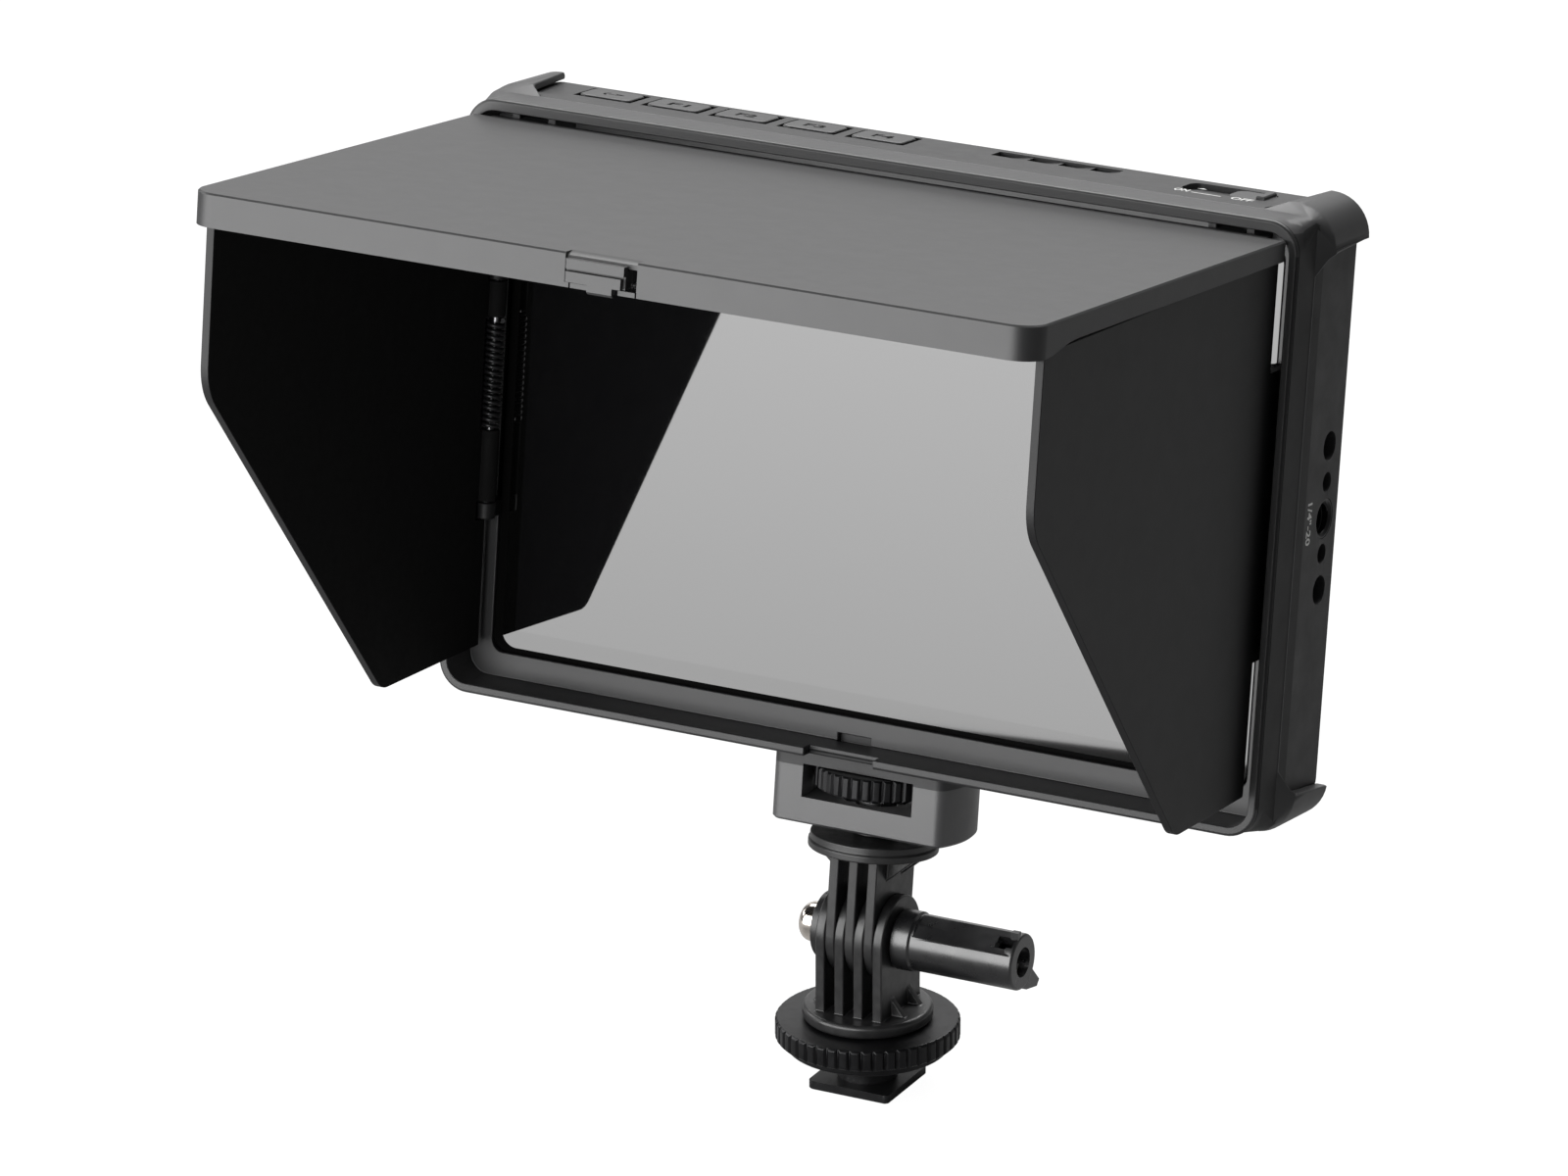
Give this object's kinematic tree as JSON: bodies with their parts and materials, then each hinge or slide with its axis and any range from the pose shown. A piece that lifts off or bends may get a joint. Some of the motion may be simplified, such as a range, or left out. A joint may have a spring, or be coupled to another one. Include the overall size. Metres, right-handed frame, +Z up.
{
  "type": "camera field monitor",
  "caption": "Flat camera monitor with a folding sun hood of one lid and two side flaps, on a tilting two-part clevis arm with a shoe foot and knurled lock ring.",
  "frame": {"origin": "centre of the shoe foot's underside", "axes": "+X to the viewer's right when facing the screen, -Y towards the viewer, +Z up with the stand upright; the head leans back 7.6 degrees on its tilt joint at rest"},
  "size_m": [0.19, 0.1455, 0.212],
  "materials": {
    "shell_plastic": "fine moulded grain",
    "hood_plastic": "fine moulded grain, satin",
    "bumper_rubber": "matte",
    "screen_glass": "polished",
    "screen_stack": "smooth",
    "circuit_board": "solder mask",
    "connector": "plated",
    "jack_plastic": "moulded",
    "key_plastic": "satin",
    "arm_plastic": "semi-gloss",
    "ring_anodised": "black anodised, turned",
    "foot_steel": "black",
    "chrome_nut": "polished",
    "steel": "bright",
    "contact_brass": "plated"
  },
  "bodies": {
    "base": {"shoe_foot": "foot_steel", "lower_clevis": "arm_plastic", "pivot_nut": "chrome_nut"},
    "washer": {"shoe_washer": "ring_anodised"},
    "lock_ring": {"lock_ring": "ring_anodised"},
    "clamp": {"clamp_bolt": "steel", "clamp_handle": "arm_plastic"},
    "tilt_arm": {"upper_clevis": "arm_plastic", "swivel_screw": "steel"},
    "monitor": {"mount_box": "shell_plastic", "mount_cover": "shell_plastic", "bumper": "bumper_rubber", "front_housing": "shell_plastic", "rear_shell": "shell_plastic", "cover_glass": "screen_glass", "lcd_panel": "screen_stack", "backlight": "screen_stack", "main_board": "circuit_board", "key_board": "circuit_board", "power_switch": "jack_plastic", "hdmi_sockets": "connector", "dc_jack": "jack_plastic", "headphone_jack": "jack_plastic", "side_insert": "steel", "base_insert": "steel", "battery_plate": "shell_plastic", "battery_contacts": "contact_brass", "case_screws": "steel", "hood_frame": "hood_plastic", "lid_pins": "steel", "flap_pin_left": "steel", "flap_pin_right": "steel", "flap_spring_left": "steel", "flap_spring_right": "steel"},
    "thumbwheel": {"thumbwheel": "ring_anodised", "mount_screw": "steel"},
    "lid": {"lid": "hood_plastic"},
    "latch": {"lid_latch": "hood_plastic", "latch_spring": "steel"},
    "flap_left": {"flap_left": "hood_plastic"},
    "flap_right": {"flap_right": "hood_plastic"},
    "power_slider": {"power_slider": "key_plastic"},
    "battery_release": {"battery_release": "key_plastic"},
    "key_input": {"key_input": "key_plastic"},
    "key_f1": {"key_f1": "key_plastic"},
    "key_f2": {"key_f2": "key_plastic"},
    "key_f3": {"key_f3": "key_plastic"},
    "key_f4": {"key_f4": "key_plastic"}
  },
  "joints": [
    {"name": "washer_slide", "type": "slide", "parent": "base", "child": "washer", "axis": [0, 0, 1], "range_m": [-0.0044, 0]},
    {"name": "ring_turn", "type": "hinge", "parent": "washer", "child": "lock_ring", "pos_m": [0, 0, 0.0124], "axis": [0, 0, 1], "range_deg": [-1247, 0]},
    {"name": "clamp_turn", "type": "hinge", "parent": "base", "child": "clamp", "pos_m": [0, 0, 0.0333], "axis": [1, 0, 0], "continuous": true},
    {"name": "tilt", "type": "hinge", "parent": "base", "child": "tilt_arm", "pos_m": [0, 0, 0.0333], "axis": [1, 0, 0], "range_deg": [-80, 85]},
    {"name": "pan", "type": "hinge", "parent": "tilt_arm", "child": "monitor", "pos_m": [0, 0.00291, 0.05511], "axis": [0, 0.1323, 0.9912], "continuous": true},
    {"name": "wheel_turn", "type": "hinge", "parent": "monitor", "child": "thumbwheel", "pos_m": [0, 0.00436, 0.06601], "axis": [0, 0.1323, 0.9912], "continuous": true},
    {"name": "lid_tilt", "type": "hinge", "parent": "monitor", "child": "lid", "pos_m": [0, 0.00427, 0.19354], "axis": [1, 0, 0], "range_deg": [0, 1.5]},
    {"name": "latch_slide", "type": "slide", "parent": "lid", "child": "latch", "axis": [1, 0, 0], "range_m": [0, 0.0022], "stiffness_N_per_m": 400, "springref_m": -0.0015},
    {"name": "flap_left_fold", "type": "hinge", "parent": "monitor", "child": "flap_left", "pos_m": [-0.0864, -0.00025, 0.13624], "axis": [0, 0.1323, 0.9912], "range_deg": [0, 90], "stiffness_Nm_per_rad": 0.008, "springref_deg": -28.65},
    {"name": "flap_right_fold", "type": "hinge", "parent": "monitor", "child": "flap_right", "pos_m": [0.0864, 0.00178, 0.13597], "axis": [0, -0.1323, -0.9912], "range_deg": [0, 90], "stiffness_Nm_per_rad": 0.008, "springref_deg": -28.65},
    {"name": "key_input_press", "type": "slide", "parent": "monitor", "child": "key_input", "axis": [0, -0.1323, -0.9912], "range_m": [0, 0.0004], "stiffness_N_per_m": 1500, "springref_m": -0.0004},
    {"name": "key_f1_press", "type": "slide", "parent": "monitor", "child": "key_f1", "axis": [0, -0.1323, -0.9912], "range_m": [0, 0.0004], "stiffness_N_per_m": 1500, "springref_m": -0.0004},
    {"name": "key_f2_press", "type": "slide", "parent": "monitor", "child": "key_f2", "axis": [0, -0.1323, -0.9912], "range_m": [0, 0.0004], "stiffness_N_per_m": 1500, "springref_m": -0.0004},
    {"name": "key_f3_press", "type": "slide", "parent": "monitor", "child": "key_f3", "axis": [0, -0.1323, -0.9912], "range_m": [0, 0.0004], "stiffness_N_per_m": 1500, "springref_m": -0.0004},
    {"name": "key_f4_press", "type": "slide", "parent": "monitor", "child": "key_f4", "axis": [0, -0.1323, -0.9912], "range_m": [0, 0.0004], "stiffness_N_per_m": 1500, "springref_m": -0.0004},
    {"name": "power_slide", "type": "slide", "parent": "monitor", "child": "power_slider", "axis": [-1, 0, 0], "range_m": [0, 0.01]},
    {"name": "release_press", "type": "slide", "parent": "monitor", "child": "battery_release", "axis": [0, -0.9912, 0.1323], "range_m": [0, 0.0012], "stiffness_N_per_m": 600, "springref_m": -0.0006}
  ],
  "couplings": [
    {"joint": "washer_slide", "follows": "ring_turn", "m_per_rad": 0.00020213}
  ]
}
